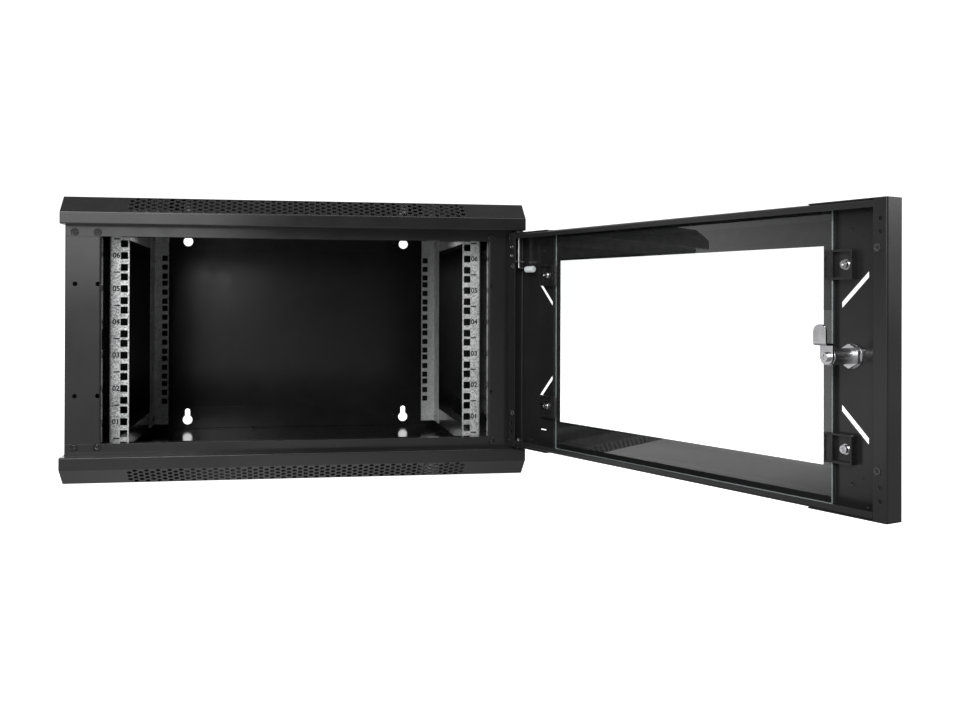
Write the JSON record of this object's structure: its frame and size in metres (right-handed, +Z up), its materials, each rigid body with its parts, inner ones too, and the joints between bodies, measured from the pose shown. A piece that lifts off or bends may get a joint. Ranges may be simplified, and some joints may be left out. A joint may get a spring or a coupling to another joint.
{
  "type": "wall mount network cabinet",
  "caption": "Wall-mounted rack cabinet with adjustable mounting rails, perforated sloped covers and a lockable hinged glass door.",
  "frame": {"origin": "centre of the rear face that lies against the wall", "axes": "+Z up, +Y into the wall (the front faces -Y), +X to the viewer's right"},
  "size_m": [0.8219, 1.1416, 0.3716],
  "materials": {
    "black_screw": "black zinc",
    "black_tape": "matte",
    "chrome_plate": "polished",
    "float_glass": "clear, polished edges",
    "galvanised": "galvanised, mottled",
    "nylon_black": "moulded, matte",
    "powder_black": "fine textured black powder coat",
    "powder_black_door": "smooth semi-gloss black powder coat",
    "vinyl_white": "translucent whitish",
    "zinc_steel": "bright zinc plated"
  },
  "bodies": {
    "cabinet": {"top_cover": "powder_black", "bottom_cover": "powder_black", "back_panel": "powder_black", "left_side_panel": "powder_black", "right_side_panel": "powder_black", "left_front_stile": "powder_black", "right_front_stile": "powder_black", "top_front_rail": "powder_black", "bottom_front_rail": "powder_black", "frame_corner_screws": "black_screw", "front_left_mounting_rail": "galvanised", "front_right_mounting_rail": "galvanised", "rear_left_mounting_rail": "galvanised", "rear_right_mounting_rail": "galvanised", "top_left_depth_bracket": "powder_black", "top_right_depth_bracket": "powder_black", "bottom_left_depth_bracket": "powder_black", "bottom_right_depth_bracket": "powder_black", "upper_cable_plate": "powder_black", "lower_cable_plate": "powder_black", "cable_plate_screws": "black_screw", "bracket_screws": "zinc_steel", "bracket_nuts": "zinc_steel", "rail_screws": "zinc_steel", "rail_nuts": "zinc_steel", "panel_screws": "black_screw", "top_hinge_bush": "nylon_black", "bottom_hinge_bush": "nylon_black"},
    "door": {"door_hinge_stile": "powder_black_door", "door_lock_stile": "powder_black_door", "door_top_rail": "powder_black_door", "door_bottom_rail": "powder_black_door", "door_rivets": "powder_black_door", "door_glass": "float_glass", "glazing_tape": "black_tape", "glass_clips": "nylon_black", "clip_screws": "zinc_steel", "clip_washers": "zinc_steel", "hinge_pin_bracket": "zinc_steel", "bottom_hinge_pin": "zinc_steel", "lock_body": "chrome_plate", "lock_washer": "chrome_plate", "lock_nut": "chrome_plate", "hinge_bracket_screws": "zinc_steel"},
    "spring_pin": {"top_hinge_pin": "zinc_steel", "pin_sleeve": "vinyl_white", "pin_collar": "zinc_steel", "hinge_spring": "zinc_steel"},
    "cam": {"lock_plug": "chrome_plate", "lock_cam": "chrome_plate", "cam_washer": "zinc_steel", "cam_screw": "zinc_steel"}
  },
  "joints": [
    {"name": "door_hinge", "type": "hinge", "parent": "cabinet", "child": "door", "pos_m": [0.29265, -0.5892, 0], "axis": [0, 0, 1], "range_deg": [-111.95, 58]},
    {"name": "pin_slide", "type": "slide", "parent": "door", "child": "spring_pin", "axis": [0, 0, 1], "range_m": [-0.009, 0], "stiffness_N_per_m": 300, "springref_m": 0.01, "deforming": ["hinge_spring"]},
    {"name": "lock_turn", "type": "hinge", "parent": "door", "child": "cam", "pos_m": [0.47233, -1.0963, 0.0008], "axis": [-0.9275, -0.3738, 0], "range_deg": [-90, 0]}
  ]
}
